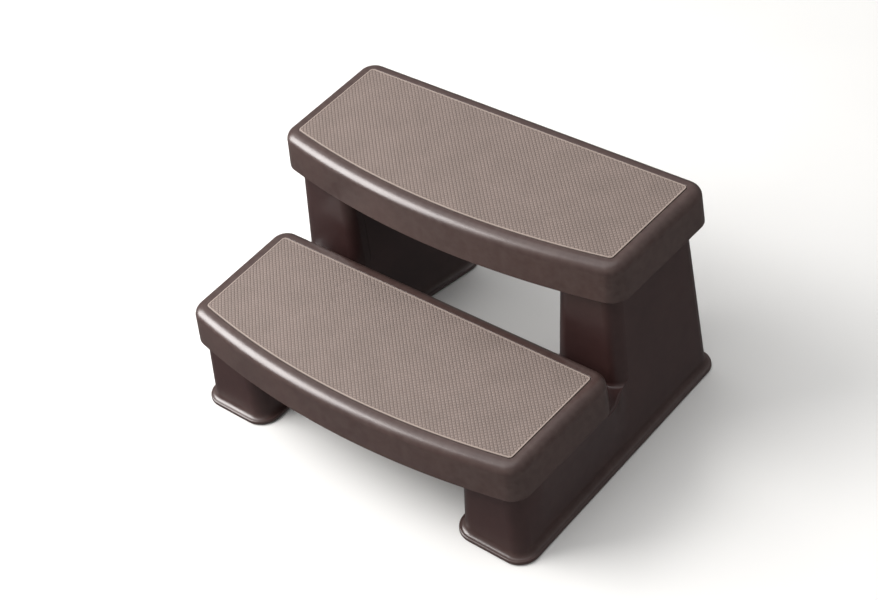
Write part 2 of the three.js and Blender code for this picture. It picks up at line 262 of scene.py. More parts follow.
def lofted(name, rings):
    """A closed body through rings of equal length, capped at both ends."""
    vertices = [point for ring in rings for point in ring]
    faces = []
    count = len(rings[0])
    for row in range(len(rings) - 1):
        for i in range(count):
            j = (i + 1) % count
            a = row * count
            b = a + count
            faces.append([a + i, a + j, b + j, b + i])
    faces.append(list(range(count)))
    faces.append(list(range(len(vertices) - count, len(vertices))))
    return mesh_object(name, vertices, faces)


def swept(name, outline, profile, place):
    """A closed body: the profile's (offset, height) points carried round an outline."""
    return lofted(name, [[place(p, offset, height) for p in outline] for offset, height in profile])


# ---- Treads ----------------------------------------------------------------------------------

CORNER_STEPS = 10
BOW_STEPS = 72
REAR_STEPS = 48
SIDE_STEPS = 14
RECESS_GAP = 1 * MM  # around the mat
RECESS_LIP = 0.8 * MM  # rounding of the recess's edge
SKIRT_EDGE = 1.2 * MM  # rounding of the skirt's lower edge
RIB = 3 * MM
RIB_OVERLAP = 1 * MM  # how far ribs run into what they join
RIB_LOW = -40 * MM
CROSS_RIB_LOW = -42 * MM
RIB_SPAN = 196 * MM  # half length of the ribs, clear of the frames
RIB_ROWS = (0.2, 0.5, 0.8)  # shares of the tread's depth
RIB_COLUMNS = (-1, -0.5, 0, 0.5, 1)  # shares of the half length
SEAT_HALF = 44 * MM
SEAT_WEB = 30 * MM
BOSS_RADIUS = 8 * MM
BOSS_SIDES = 32
PILOT_FLOOR = 1.8 * MM  # material left between a pilot hole and the recess
PILOT_SIDES = 20


def tread_outline():
    """The mat's outline: straight rear and sides, and one shallow arc in front."""
    corner_x = MAT_HALF - MAT_CORNER
    reach = BOW_RADIUS - MAT_CORNER
    front_y = BOW_CENTRE - math.sqrt(reach**2 - corner_x**2)
    lean = math.asin(corner_x / reach)

    def corner(side, y, start, end):
        return arc((side * corner_x, y), MAT_CORNER, start, end, CORNER_STEPS)

    rear_right = corner(1, -MAT_CORNER, 0, QUARTER)
    rear_left = corner(-1, -MAT_CORNER, QUARTER, 2 * QUARTER)
    front_left = corner(-1, front_y, 2 * QUARTER, 3 * QUARTER - lean)
    front_right = corner(1, front_y, -QUARTER + lean, 0)
    bow = arc((0, BOW_CENTRE), BOW_RADIUS, -QUARTER - lean, -QUARTER + lean, BOW_STEPS)[1:-1]
    outline = rear_right + between(rear_right[-1], rear_left[0], REAR_STEPS) + rear_left
    outline += between(rear_left[-1], front_left[0], SIDE_STEPS) + front_left + bow + front_right
    return outline + between(front_right[-1], rear_right[0], SIDE_STEPS)


def tread_spread(y):
    """The whole tread widens slightly towards its rear."""
    share = 2 * y / MAT_DEPTH + 1
    return 1 + TREAD_TAPER * share / MAT_HALF


def tread_place(point, offset, height):
    x = point[0] + point[2] * offset
    y = point[1] + point[3] * offset
    return (x * tread_spread(y), y, height)


def skirt_offset(offset, height):
    """The skirt flares outwards below the rounded edge."""
    share = (-ROUND - height) / (SKIRT_HEIGHT - ROUND)
    return offset + SKIRT_DRAFT * max(0, share)


def tread_profile():
    """From the recess's floor over the rounded edge, down the skirt and back up inside it."""
    inner_round = ROUND - TREAD_WALL
    underside = -RECESS_DEPTH - PLATE
    inner_low = underside - inner_round
    low = -SKIRT_HEIGHT + SKIRT_EDGE
    foot = skirt_offset(REACH, -SKIRT_HEIGHT)
    lip = (RECESS_GAP + RECESS_LIP, -RECESS_LIP)
    outer_foot = (foot - SKIRT_EDGE, low)
    inner_foot = (foot - TREAD_WALL + SKIRT_EDGE, low)
    profile = [(-CAP_INSET, -RECESS_DEPTH), (RECESS_GAP, -RECESS_DEPTH)]
    profile += quarter_round(lip, RECESS_LIP, 2 * QUARTER, QUARTER, 4)
    profile += quarter_round((BORDER, -ROUND), ROUND, QUARTER, 0, 14)
    levels = [-ROUND + (low + ROUND) * i / 4 for i in range(1, 5)]
    profile += [(skirt_offset(REACH, z), z) for z in levels]
    profile += quarter_round(outer_foot, SKIRT_EDGE, 0, -QUARTER, 4)[1:]
    profile += quarter_round(inner_foot, SKIRT_EDGE, -QUARTER, -2 * QUARTER, 4)
    profile.append((REACH - TREAD_WALL, inner_low))
    profile += quarter_round((BORDER, inner_low), inner_round, 0, QUARTER, 6)[1:]
    return profile + [(-CAP_INSET, underside)]


def tread_envelope(outline):
    """The tread's outer shape, drawn in a little so that ribs end inside its walls."""
    low = -SKIRT_HEIGHT + RIB_OVERLAP
    profile = [(-CAP_INSET, -RIB_OVERLAP)]
    profile += quarter_round((BORDER, -ROUND), ROUND - RIB_OVERLAP, QUARTER, 0, 6)
    profile += [(skirt_offset(REACH - RIB_OVERLAP, low), low), (-CAP_INSET, low)]
    return swept("tread_envelope", outline, profile, tread_place)


def tread_ribs(outline):
    """Stiffening ribs, seats on the frames' decks and screw bosses, trimmed to the tread."""
    half = RIB / 2
    top = -RECESS_DEPTH - PLATE + RIB_OVERLAP
    seat = GAP - SEAT_DEPTH
    depth = MAT_DEPTH + MAT_BOW + BORDER
    parts = []
    for share in RIB_ROWS:
        y = -depth * share
        parts.append(box_object((-RIB_SPAN, y - half, RIB_LOW), (RIB_SPAN, y + half, top)))
    for share in RIB_COLUMNS:
        x = share * RIB_SPAN
        parts.append(box_object((x - half, -depth - REACH, CROSS_RIB_LOW), (x + half, REACH, top)))
    for x, y in SCREW_PLACES:
        parts.append(box_object((x - SEAT_HALF, y - half, seat), (x + SEAT_HALF, y + half, top)))
        parts.append(box_object((x - half, y - SEAT_WEB, seat), (x + half, y + SEAT_WEB, top)))
        vertices = []
        faces = []
        add_drum(vertices, faces, (x, y), BOSS_RADIUS, seat, top, BOSS_SIDES)
        parts.append(mesh_object("boss", vertices, faces))
    ribs = parts[0]
    for part in parts[1:]:
        ribs = combine(ribs, part, "UNION")
    return combine(ribs, tread_envelope(outline), "INTERSECT")


def pilot_holes():
    vertices = []
    faces = []
    low = -SEAT_DEPTH - OVERCUT
    high = -RECESS_DEPTH - PILOT_FLOOR
    for place in SCREW_PLACES:
        add_drum(vertices, faces, place, SCREW_SHANK + GAP, low, high, PILOT_SIDES)
    return mesh_object("pilot_holes", vertices, faces)


def tread_mesh():
    outline = tread_outline()
    shell = swept("tread_shell", outline, tread_profile(), tread_place)
    tread = combine(shell, tread_ribs(outline), "UNION")
    return smoothed(combine(tread, pilot_holes(), "DIFFERENCE"))


# ---- Mats ------------------------------------------------------------------------------------

KNURL_PITCH = 6.6 * MM
KNURL_HEIGHT = 0.8 * MM
KNURL_CROWN = 0.42  # width of a pyramid's flat top against its base
CROWN_DROP = 0.03 * MM  # from the plain margin down to the pyramids' tops
MOULD_BACK = 1 * MM  # how far the mould rises above the mat
FIELD_LOW = -1 * MM
FIELD_HIGH = 3 * MM
PLAIN_EDGE = 3 * MM  # smooth margin around the pattern
MAT_EDGE = 1 * MM  # rounding of the top edge
MAT_CHAMFER = 0.4 * MM
MAT_CREASE = 20


def knurl_mould():
    """A slab whose underside is the negative of rows of truncated pyramids set at 45 degrees."""
    stride = KNURL_PITCH * math.sqrt(0.5)
    crown_z = MAT_PROUD - CROWN_DROP
    groove_z = MAT_PROUD - KNURL_HEIGHT
    back_z = MAT_PROUD + MOULD_BACK
    middle_y = -(MAT_DEPTH + MAT_BOW) / 2
    reach_x = MAT_HALF + 2 * KNURL_PITCH
    reach_y = (MAT_DEPTH + MAT_BOW) / 2 + 2 * KNURL_PITCH
    span = int((reach_x + reach_y) / stride)
    vertices = []
    faces = []
    corners = {}
    border = {}

    def corner(i, j):
        """A groove crossing's vertex; the one on the mould's back comes right after it."""
        if (i, j) not in corners:
            corners[i, j] = len(vertices)
            for z in (groove_z, back_z):
                vertices.append(((i - j) * stride, middle_y + (i + j) * stride, z))
        return corners[i, j]

    for i in range(-span, span):
        for j in range(-span, span):
            x, y = (i - j) * stride, (i + j + 1) * stride
            if abs(x) > reach_x or abs(y) > reach_y:
                continue
            middle = (x, middle_y + y)
            base = [corner(*spot) for spot in ((i, j), (i + 1, j), (i + 1, j + 1), (i, j + 1))]
            crown = list(range(len(vertices), len(vertices) + 4))
            for k in base:
                flat = [m + (v - m) * KNURL_CROWN for m, v in zip(middle, vertices[k])]
                vertices.append((*flat, crown_z))
            faces.append(crown)
            faces.append([k + 1 for k in base])
            for k in range(4):
                m = (k + 1) % 4
                faces.append([base[k], base[m], crown[m], crown[k]])
                if (base[m], base[k]) in border:
                    del border[base[m], base[k]]
                else:
                    border[base[k], base[m]] = True
    for a, b in border:
        faces.append([a, b, b + 1, a + 1])
    return mesh_object("knurl_mould", vertices, faces)


def mat_mesh():
    """A sheet with a rounded edge, pressed with the knurl everywhere but along its margin."""
    outline = tread_outline()
    bottom = MAT_PROUD - MAT_THICKNESS
    profile = [(-CAP_INSET, MAT_PROUD)]
    profile += quarter_round((-MAT_EDGE, MAT_PROUD - MAT_EDGE), MAT_EDGE, QUARTER, 0, 5)
    profile += [(0, bottom + MAT_CHAMFER), (-MAT_CHAMFER, bottom), (-CAP_INSET, bottom)]
    sheet = swept("mat_sheet", outline, profile, tread_place)
    window = [(-PLAIN_EDGE, FIELD_LOW), (-PLAIN_EDGE, FIELD_HIGH)]
    field = swept("mat_field", outline, window, tread_place)
    mould = combine(knurl_mould(), field, "INTERSECT")
    return smoothed(combine(sheet, mould, "DIFFERENCE"), MAT_CREASE)


# ---- Side frames -----------------------------------------------------------------------------

FRAME_CORNER_STEPS = 12
END_STEPS = 4
FLANK_STEPS = 56
FLARE_LIP = 10.2 * MM  # top of the foot's lip
FLARE_TOP = 24 * MM  # level where the cove above the lip runs into the wall
COVE_REACH = 9.5 * MM
LIP_LOW_ROUND = 1.5 * MM
LIP_HIGH_ROUND = 2.5 * MM
DECK_EDGE = 1 * MM
SADDLE_FILLET = 9 * MM
SADDLE_EDGE = 7 * MM
EDGE_START = -0.06  # angle at which the rounding of the column's edges starts, in radians
EDGE_RUN = 6 * MM  # how far its cutter runs on past the wall
ROUNDING_FRONT = -30 * MM  # ends of the saddle's rounded edges
ROUNDING_REAR = 44 * MM
ROUNDING_FADE = 22 * MM  # they fade out from here to their rear end
ROUNDING_LEAST = 0.05 * MM
ROUNDING_OUT = 30 * MM  # how far their cutter reaches sideways
ROUNDING_UP = 20 * MM  # and upwards
LEDGE = 0.15 * MM  # how far the leg's outer wall stands above the saddle, under the skirt
LEDGE_STEP = 0.01 * MM  # height of the slope from the ledge to the wall above it
SWELL_GAP = 0.8 * MM  # the swelled wall stays this far inside the skirt
SWELL_POWER = 1.4
SWELL_FRONT = (-272 * MM, -225 * MM)  # the swell rises from first to last
SWELL_REAR = (-14 * MM, 50 * MM)  # and fades from first to last
LOWER_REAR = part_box("lower_tread_mat")[1].y
HOLE_SIDES = 24


def inner_x(y, z):
    behind = y - COLUMN_FRONT
    splay = INNER_SPLAY * (behind + math.hypot(behind, SPLAY_BLEND)) / 2
    return INNER_X - INNER_TAPER * (y - FRONT_Y) - splay + DRAFT * z


def swell(y, z, inset):
    """How far the outer wall stands out to meet the lower skirt, which fades behind the tread."""
    if z > SADDLE_Z + LEDGE - inset + LEDGE_STEP / 2:
        return 0
    skirt = (MAT_HALF + REACH + SKIRT_DRAFT - SWELL_GAP) * tread_spread(y - LOWER_REAR)
    wall = OUTER_X - OUTER_TAPER * (REAR_Y - y) - DRAFT * SADDLE_Z
    along = step(y, *SWELL_FRONT) * (1 - step(y, *SWELL_REAR))
    up = max(0, (z - FLARE_TOP) / (SADDLE_Z - FLARE_TOP))
    return (skirt - wall) * along * up**SWELL_POWER


def outer_x(y, z, inset=0):
    return OUTER_X - OUTER_TAPER * (REAR_Y - y) - DRAFT * z + swell(y, z, inset)


def frame_outline():
    """The plan at floor level, with X running from 0 at the inner side to the nominal width."""
    low_x, high_x = FRAME_CORNER, FRAME_WIDTH - FRAME_CORNER
    low_y, high_y = FRONT_Y + FRAME_CORNER, REAR_Y - FRAME_CORNER
    centres = ((high_x, high_y), (low_x, high_y), (low_x, low_y), (high_x, low_y))
    corners = [
        arc(centre, FRAME_CORNER, turn * QUARTER, (turn + 1) * QUARTER, FRAME_CORNER_STEPS)
        for turn, centre in enumerate(centres)
    ]
    runs = (END_STEPS, FLANK_STEPS, END_STEPS, FLANK_STEPS)
    outline = []
    for corner, following, steps in zip(corners, corners[1:] + corners[:1], runs):
        outline += corner + between(corner[-1], following[0], steps)
    return outline


def frame_place(point, offset, height, inset):
    """Puts a point of the plan on the leaning walls."""
    x = point[0] + point[2] * offset
    y = point[1] + point[3] * offset
    run = (point[1] - FRONT_Y - FRAME_CORNER) / (REAR_Y - FRONT_Y - 2 * FRAME_CORNER)
    y += DRAFT * height * (1 - 2 * min(1, max(0, run)))
    if point[0] < FRAME_WIDTH / 2:
        return (inner_x(y, height) + x, y, height)
    return (outer_x(y, height, inset) + x - FRAME_WIDTH, y, height)


def outer_profile():
    """The outer skin from the underside of the foot's lip, over its cove and up to the deck."""
    low_centre = (RIM_REACH - LIP_LOW_ROUND, FRAME_BOTTOM + LIP_LOW_ROUND)
    high_centre = (RIM_REACH - LIP_HIGH_ROUND, FLARE_LIP - LIP_HIGH_ROUND)
    profile = [(-FRAME_WALL, FRAME_BOTTOM)]
    profile += quarter_round(low_centre, LIP_LOW_ROUND, -QUARTER, 0, 4)
    profile += quarter_round(high_centre, LIP_HIGH_ROUND, 0, QUARTER, 5)
    for i in range(1, 13):
        angle = QUARTER * i / 12
        rise = FLARE_TOP - FLARE_LIP
        profile.append((COVE_REACH * (1 - math.sin(angle)), FLARE_TOP - rise * math.cos(angle)))
    rise = SADDLE_Z + LEDGE - FLARE_TOP
    profile += [(0, FLARE_TOP + rise * i / 14) for i in range(1, 15)]
    profile += [(0, SADDLE_Z + LEDGE + LEDGE_STEP), (0, UPPER_DECK - DECK_EDGE)]
    return profile + [(-DECK_EDGE, UPPER_DECK)]


def inner_profile(inset):
    """The cavity's skin, from below the floor up to the underside of the deck."""
    ledge = SADDLE_Z + LEDGE - inset
    rise = ledge - FLARE_TOP
    profile = [(-inset, -2 * FLARE_TOP), (-inset, FLARE_TOP)]
    profile += [(-inset, FLARE_TOP + rise * i / 8) for i in range(1, 9)]
    return profile + [(-inset, ledge + LEDGE_STEP), (-inset, UPPER_DECK - inset)]


def saddle_space(inset, fillet):
    """The space between leg and column, rounded into the saddle and round the column's edges."""
    low = SADDLE_Z - inset
    radius = FRAME_CORNER - inset
    levels = []
    for i in range(7):
        angle = QUARTER * i / 6
        levels.append((low + fillet * (1 - math.cos(angle)), fillet * (1 - math.sin(angle))))
    levels.append((FAR, 0))
    rings = []
    for z, reach in levels:
        rise = DRAFT * z
        centre_y = COLUMN_FRONT + FRAME_CORNER + rise
        right = (outer_x(centre_y, z) - FRAME_CORNER, centre_y)
        left = (inner_x(centre_y, z) + FRAME_CORNER, centre_y)
        edge = arc(right, radius + reach, EDGE_START, -QUARTER, 12)
        edge += arc(left, radius + reach, -QUARTER, -2 * QUARTER - EDGE_START, 12)
        first, last = edge[0], edge[-1]
        leg = LEG_REAR - inset - rise + reach
        ring = [(FAR, leg), (FAR, first[1] + EDGE_RUN)]
        ring.append((first[0] - first[3] * EDGE_RUN, first[1] + EDGE_RUN))
        ring += [(x, y) for x, y, _, _ in edge]
        ring.append((last[0] + last[3] * EDGE_RUN, last[1] + EDGE_RUN))
        ring += [(-FAR, last[1] + EDGE_RUN), (-FAR, leg)]
        rings.append([(x, y, z) for x, y in ring])
    return lofted("saddle_space", rings)


def saddle_rounding(side):
    """What rounding takes off one long edge of the saddle; it fades out towards the column."""
    above = SADDLE_Z + ROUNDING_UP
    rings = []
    for i in range(17):
        y = ROUNDING_FRONT + (ROUNDING_REAR - ROUNDING_FRONT) * i / 16
        radius = SADDLE_EDGE * (1 - step(y, ROUNDING_FADE, ROUNDING_REAR)) + ROUNDING_LEAST
        edge = outer_x(y, SADDLE_Z) if side > 0 else inner_x(y, SADDLE_Z)
        outside = edge + side * ROUNDING_OUT
        ring = []
        for k in range(9):
            angle = QUARTER * k / 8
            x = edge - side * radius * (1 - math.sin(angle))
            ring.append((x, y, SADDLE_Z - radius * (1 - math.cos(angle))))
        ring += [(outside, y, ring[-1][2]), (outside, y, above), (ring[0][0], y, above)]
        rings.append(ring)
    return lofted("saddle_rounding", rings)


def frame_skin(inset):
    """The volume inside the outer skin, or inside the wall when inset by its thickness."""

    def place_point(point, offset, height):
        return frame_place(point, offset, height, inset)

    profile = inner_profile(inset) if inset else outer_profile()
    over_leg = ((0, -FAR, LOWER_DECK - inset), (FAR, 0, FAR))
    body = swept("frame_skin", frame_outline(), profile, place_point)
    body = combine(body, box_object(*over_leg), "DIFFERENCE")
    return combine(body, saddle_space(inset, SADDLE_FILLET - inset), "DIFFERENCE")


def frame_holes():
    """Clearance holes for the screws through both decks, and sockets for the feet."""
    vertices = []
    faces = []
    screw_radius = SCREW_SHANK + SCREW_CLEARANCE
    for level, deck in (("lower", LOWER_DECK), ("upper", UPPER_DECK)):
        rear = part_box(f"{level}_tread_mat")[1].y
        low = deck - 2 * OVERCUT
        for y in SCREW_ROWS:
            centre = (SEAT_X, rear + y)
            add_drum(vertices, faces, centre, screw_radius, low, deck + OVERCUT, HOLE_SIDES)
    for end in ("front", "rear"):
        for flank in ("inner", "outer"):
            low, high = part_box(f"foot_right_{end}_{flank}")
            centre = ((low.x + high.x) / 2, (low.y + high.y) / 2)
            top = high.z + GAP
            add_drum(vertices, faces, centre, STEM_RADIUS + GAP, -OVERCUT, top, HOLE_SIDES)
    return mesh_object("frame_holes", vertices, faces)


def frame_mesh():
    body = frame_skin(0)
    for side in (-1, 1):
        body = combine(body, saddle_rounding(side), "DIFFERENCE")
    body = combine(body, frame_skin(FRAME_WALL), "DIFFERENCE")
    return smoothed(combine(body, frame_holes(), "DIFFERENCE"))


def mirrored(mesh):
    twin = mesh.copy()
    twin.transform(Matrix.Scale(-1, 4, (1, 0, 0)))
    twin.flip_normals()
    return twin


# ---- Screws and feet -------------------------------------------------------------------------

SCREW_SEAT = 3.6 * MM  # from the lowest point of the head up to the deck it clamps
HEAD_HEIGHT = 3.3 * MM
HEAD_FLANK = 1 * MM  # height of the head's upright side
HEAD_CHAMFER = 0.3 * MM
HEAD_FULLNESS = 0.8  # below 1, the head's crown bulges
HEAD_SIDES = 48
DRIVE_REACH = 3.2 * MM
DRIVE_HALF = 0.55 * MM
DRIVE_DEPTH = 1.7 * MM
DRIVE_LEAD = 1 * MM  # the drive's cutter starts this far below the head
DRIVE_TAPER = 0.55
THREAD_PITCH = 1.6 * MM
THREAD_DEPTH = 0.45 * MM
THREAD_SHARPNESS = 3.2
THREAD_START = 1 * MM
THREAD_ROWS = 8  # rows of vertices to a turn
POINT_LENGTH = 3 * MM
POINT_SHARE = 0.08  # radius of the blunt end against the shank's
SHANK_SIDES = 24
FOOT_PAD = 2 * MM
FOOT_EDGE = 0.8 * MM
FOOT_CHAMFER = 0.3 * MM
DIMPLE_DEPTH = 0.3 * MM  # hollow under the pad
DIMPLE_TOP = 1.6 * MM
DIMPLE_RIM = 1.9 * MM
BARB_DEPTH = 0.4 * MM
BARB_PITCH = 2 * MM
BARB_RISE = 0.2 * MM
BARB_START = 1.2 * MM  # above the pad
STEM_TIP = 1.2 * MM
FOOT_SIDES = 40


def screw_head():
    """A pan head below Z = 0, with a cross recess."""
    low = -HEAD_HEIGHT
    profile = [(0, low)]
    for i in range(1, 9):
        angle = QUARTER * i / 8
        radius = SCREW_HEAD * math.sin(angle) ** HEAD_FULLNESS
        profile.append((radius, -HEAD_FLANK - (HEAD_HEIGHT - HEAD_FLANK) * math.cos(angle)))
    profile += [(SCREW_HEAD, -HEAD_CHAMFER), (SCREW_HEAD - HEAD_CHAMFER, 0), (0, 0)]
    head = lathe_object("screw_head", profile, HEAD_SIDES)
    square = ((1, 1), (-1, 1), (-1, -1), (1, -1))
    ends = ((1, low - DRIVE_LEAD), (DRIVE_TAPER, low + DRIVE_DEPTH))
    for x, y in ((DRIVE_REACH, DRIVE_HALF), (DRIVE_HALF, DRIVE_REACH)):
        rings = [[(a * x * size, b * y * size, z) for a, b in square] for size, z in ends]
        head = combine(head, lofted("drive", rings), "DIFFERENCE")
    return head


def screw_shank():
    """A threaded shank, rising from inside the head to a blunt point."""
    length = SCREW_HIGH.z - SCREW_LOW.z - SCREW_SEAT
    rows = int(length / THREAD_PITCH * THREAD_ROWS)
    core = SCREW_SHANK - THREAD_DEPTH
    rings = []
    for row in range(-4, rows + 1):
        z = length * row / rows
        taper = max(POINT_SHARE, min(1, (length - z) / POINT_LENGTH))
        depth = THREAD_DEPTH * min(1, max(0, z / THREAD_START))
        ring = []
        for k, (a, b) in enumerate(unit_circle(SHANK_SIDES)):
            turn = (z / THREAD_PITCH - k / SHANK_SIDES) % 1
            radius = (core + depth * max(0, 1 - abs(turn - 0.5) * THREAD_SHARPNESS)) * taper
            ring.append((a * radius, b * radius, z))
        rings.append(ring)
    return lofted("screw_shank", rings)


def foot_mesh():
    """A rubber foot: a pad with a rounded edge and a hollow below, under a barbed stem."""
    low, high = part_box("foot_right_front_inner")
    pad = (high.x - low.x) / 2
    neck = STEM_RADIUS - BARB_DEPTH
    profile = [(0, DIMPLE_DEPTH), (DIMPLE_TOP, DIMPLE_DEPTH), (DIMPLE_RIM, 0)]
    profile += quarter_round((pad - FOOT_EDGE, FOOT_EDGE), FOOT_EDGE, -QUARTER, 0, 5)
    profile += [(pad, FOOT_PAD - FOOT_CHAMFER), (pad - FOOT_CHAMFER, FOOT_PAD)]
    profile += [(neck, FOOT_PAD), (neck, FOOT_PAD + BARB_START)]
    for i in range(3):
        z = FOOT_PAD + BARB_START + i * BARB_PITCH
        profile += [(STEM_RADIUS, z + BARB_RISE), (neck, z + BARB_PITCH)]
    profile += [(STEM_TIP, high.z), (0, high.z)]
    return smoothed(lathe_object("foot", profile, FOOT_SIDES))


# ---- Materials -------------------------------------------------------------------------------


class Nodes:
    """Short calls that build the node tree of a material or a world."""

    def __init__(self, owner):
        self.owner = owner
        owner.use_nodes = True
        self.tree = owner.node_tree

    def add(self, kind, inputs=None, **settings):
        node = self.tree.nodes.new(kind)
        for key, value in settings.items():
            setattr(node, key, value)
        for key, value in (inputs or {}).items():
            self.feed(node.inputs[key], value)
        return node

    def feed(self, socket, value):
        """Links another node's output, or sets a plain value."""
        if isinstance(value, bpy.types.NodeSocket):
            self.tree.links.new(value, socket)
        else:
            socket.default_value = value

    def place(self):
        """Object coordinates, in metres."""
        return self.add("ShaderNodeTexCoord").outputs["Object"]

    def noise(self, scale, detail=3, roughness=0.5, vector=None):
        """Noise with about this many features to the metre."""
        inputs = {"Scale": scale, "Detail": detail, "Roughness": roughness}
        inputs["Vector"] = vector or self.place()
        return self.add("ShaderNodeTexNoise", inputs).outputs["Fac"]

    def axis(self, name, vector=None):
        inputs = {"Vector": vector or self.place()}
        return self.add("ShaderNodeSeparateXYZ", inputs).outputs[name]

    def ranged(self, value, low, high, to_low=0, to_high=1):
        """Maps low..high to to_low..to_high, and holds the ends."""
        inputs = {"Value": value, "From Min": low, "From Max": high}
        inputs |= {"To Min": to_low, "To Max": to_high}
        return self.add("ShaderNodeMapRange", inputs).outputs["Result"]

    def math(self, operation, a, b):
        return self.add("ShaderNodeMath", {0: a, 1: b}, operation=operation).outputs[0]

    def mix(self, factor, a, b):
        """Blends from colour a to colour b."""
        node = self.add("ShaderNodeMix", data_type="RGBA")
        for name, value in (("Factor", factor), ("A", a), ("B", b)):
            self.feed(next(s for s in node.inputs if s.name == name and s.enabled), value)
        return next(s for s in node.outputs if s.enabled)

    def bump(self, height, strength, distance, normal=None):
        inputs = {"Height": height, "Strength": strength, "Distance": distance}
        if normal:
            inputs["Normal"] = normal
        return self.add("ShaderNodeBump", inputs).outputs["Normal"]

    def finish(self, **inputs):
        """Feeds the surface shader and returns the material."""
        shader = self.tree.nodes["Principled BSDF"]
        for key, value in inputs.items():
            self.feed(shader.inputs[key.replace("_", " ")], value)
        return self.owner


def material_nodes(name):
    return Nodes(bpy.data.materials.new(name))


def shade(red, green, blue):
    """Linear colour from the sRGB values of an 8-bit swatch."""
    linear = []
    for value in (red, green, blue):
        share = value / 255
        linear.append(share / 12.92 if share < 0.04045 else ((share + 0.055) / 1.055) ** 2.4)
    return (*linear, 1)


def edge_mask(n, radius):
    """1 along edges, fading to 0 on flat faces."""
    rounded = n.add("ShaderNodeBevel", {"Radius": radius}, samples=4).outputs[0]
    normal = n.add("ShaderNodeNewGeometry").outputs["Normal"]
    facing = n.add("ShaderNodeVectorMath", {0: rounded, 1: normal}, operation="DOT_PRODUCT")
    return n.ranged(facing.outputs["Value"], 0.995, 0.9)


def body_material():
    """Espresso plastic, moulded with a fine grain, rubbed along its edges, dusty near the floor."""
    n = material_nodes("body_plastic")
    base = n.mix(n.ranged(n.noise(9, 2), 0.3, 0.7), shade(56, 36, 35), shade(62, 41, 39))
    base = n.mix(n.ranged(n.noise(55), 0.45, 0.75, 0, 0.25), base, shade(70, 49, 46))
    wear = n.math("MULTIPLY", edge_mask(n, 2 * MM), n.ranged(n.noise(140, 4), 0.4, 0.65))
    base = n.mix(n.math("MULTIPLY", wear, 0.3), base, shade(112, 94, 89))
    dust = n.ranged(n.axis("Z"), 0, 50 * MM, 0.16, 0)
    base = n.mix(n.math("MULTIPLY", dust, n.noise(70, 4)), base, shade(150, 138, 128))
    rough = n.ranged(n.noise(35, 4), 0.3, 0.7, 0.3, 0.37)
    rough = n.math("ADD", rough, n.math("MULTIPLY", wear, 0.12))
    peel = n.bump(n.noise(120, 1), 0.05, 0.5 * MM)
    grain = n.bump(n.noise(1500, 1), 0.04, 0.1 * MM, peel)
    return n.finish(Base_Color=base, Roughness=rough, Normal=grain, Coat_Weight=0.1, Coat_Roughness=0.3)


def mat_material():
    """Warm grey rubbery sheet: speckled, with painted shade low in its pattern and a painted highlight on
    its plain margin.
    """
    n = material_nodes("mat_sheet")
    base = n.mix(n.ranged(n.noise(14), 0.3, 0.7), shade(128, 113, 106), shade(136, 120, 113))
    base = n.mix(n.ranged(n.noise(900, 2), 0.55, 0.75, 0, 0.35), base, shade(102, 90, 84))
    height = n.axis("Z")
    # Painted shade: darker the lower a point sits in the knurl's grooves.
    groove_shade = n.ranged(height, MAT_PROUD - KNURL_HEIGHT, MAT_PROUD - 0.2 * MM, 0.5, 0)
    base = n.mix(groove_shade, base, shade(68, 57, 52))
    # Painted highlight: the plain margin, standing above the knurl's crowns, is made paler.
    margin_highlight = n.ranged(height, MAT_PROUD - 0.02 * MM, MAT_PROUD - 0.01 * MM, 0, 0.6)
    base = n.mix(margin_highlight, base, shade(176, 160, 150))
    rough = n.ranged(n.noise(60, 4), 0.3, 0.7, 0.62, 0.8)
    pores = n.bump(n.noise(2200, 3, 0.6), 0.3, 0.15 * MM)
    return n.finish(Base_Color=base, Roughness=rough, Normal=pores)


def steel_material():
    """Bright zinc plate with turned lines and a faint warm bloom."""
    n = material_nodes("zinc_plate")
    base = n.mix(n.ranged(n.noise(220), 0.35, 0.7), shade(196, 198, 200), shade(206, 200, 184))
    rough = n.ranged(n.noise(1800, 2), 0.3, 0.7, 0.24, 0.42)
    stretch = n.add("ShaderNodeMapping", {"Vector": n.place(), "Scale": (0.2, 0.2, 6)}).outputs[0]
    lines = n.bump(n.noise(1600, 2, vector=stretch), 0.2, 0.04 * MM)
    return n.finish(Base_Color=base, Roughness=rough, Normal=lines, Metallic=1)


def rubber_material():
    """Black rubber, dulled and slightly greyed where it is handled."""
    n = material_nodes("foot_rubber")
    base = n.mix(n.ranged(n.noise(260, 4), 0.4, 0.75), shade(30, 29, 29), shade(54, 52, 50))
    rough = n.ranged(n.noise(500), 0.3, 0.7, 0.72, 0.9)
    skin = n.bump(n.noise(2600), 0.35, 0.1 * MM)
    return n.finish(Base_Color=base, Roughness=rough, Normal=skin)


def floor_material():
    """Plain near-white studio floor."""
    n = material_nodes("studio_floor")
    base = n.mix(n.ranged(n.noise(1.5, 2), 0.3, 0.7), shade(236, 235, 233), shade(240, 239, 237))
    return n.finish(Base_Color=base, Roughness=0.85)


# ---- Assembly --------------------------------------------------------------------------------


def place(node, suffix, mesh, material, slot, location=(0, 0, 0), turn=0):
    """Stands a finished mesh in for one CAD node."""
    piece = bpy.data.objects.new(f"{node}_{suffix}", mesh)
    piece.location = location
    piece.rotation_euler.z = turn
    bpy.context.scene.collection.objects.link(piece)
    mesh.materials.clear()
    mesh.materials.append(material)
    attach(piece, "root")
    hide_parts(node)


def place_frames(body):
    right = frame_mesh()
    place("right_side_frame", "moulding", right, body, "body")
    place("left_side_frame", "moulding", mirrored(right), body, "body")


def place_treads(body, sheet):
    tread = tread_mesh()
    mat = mat_mesh()
    for level in ("lower", "upper"):
        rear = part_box(f"{level}_tread_mat")[1].y
        spot = (0, rear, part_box(f"{level}_tread")[1].z)
        place(f"{level}_tread", "moulding", tread, body, "body", spot)
        place(f"{level}_tread_mat", "sheet", mat, sheet, "mat", spot)


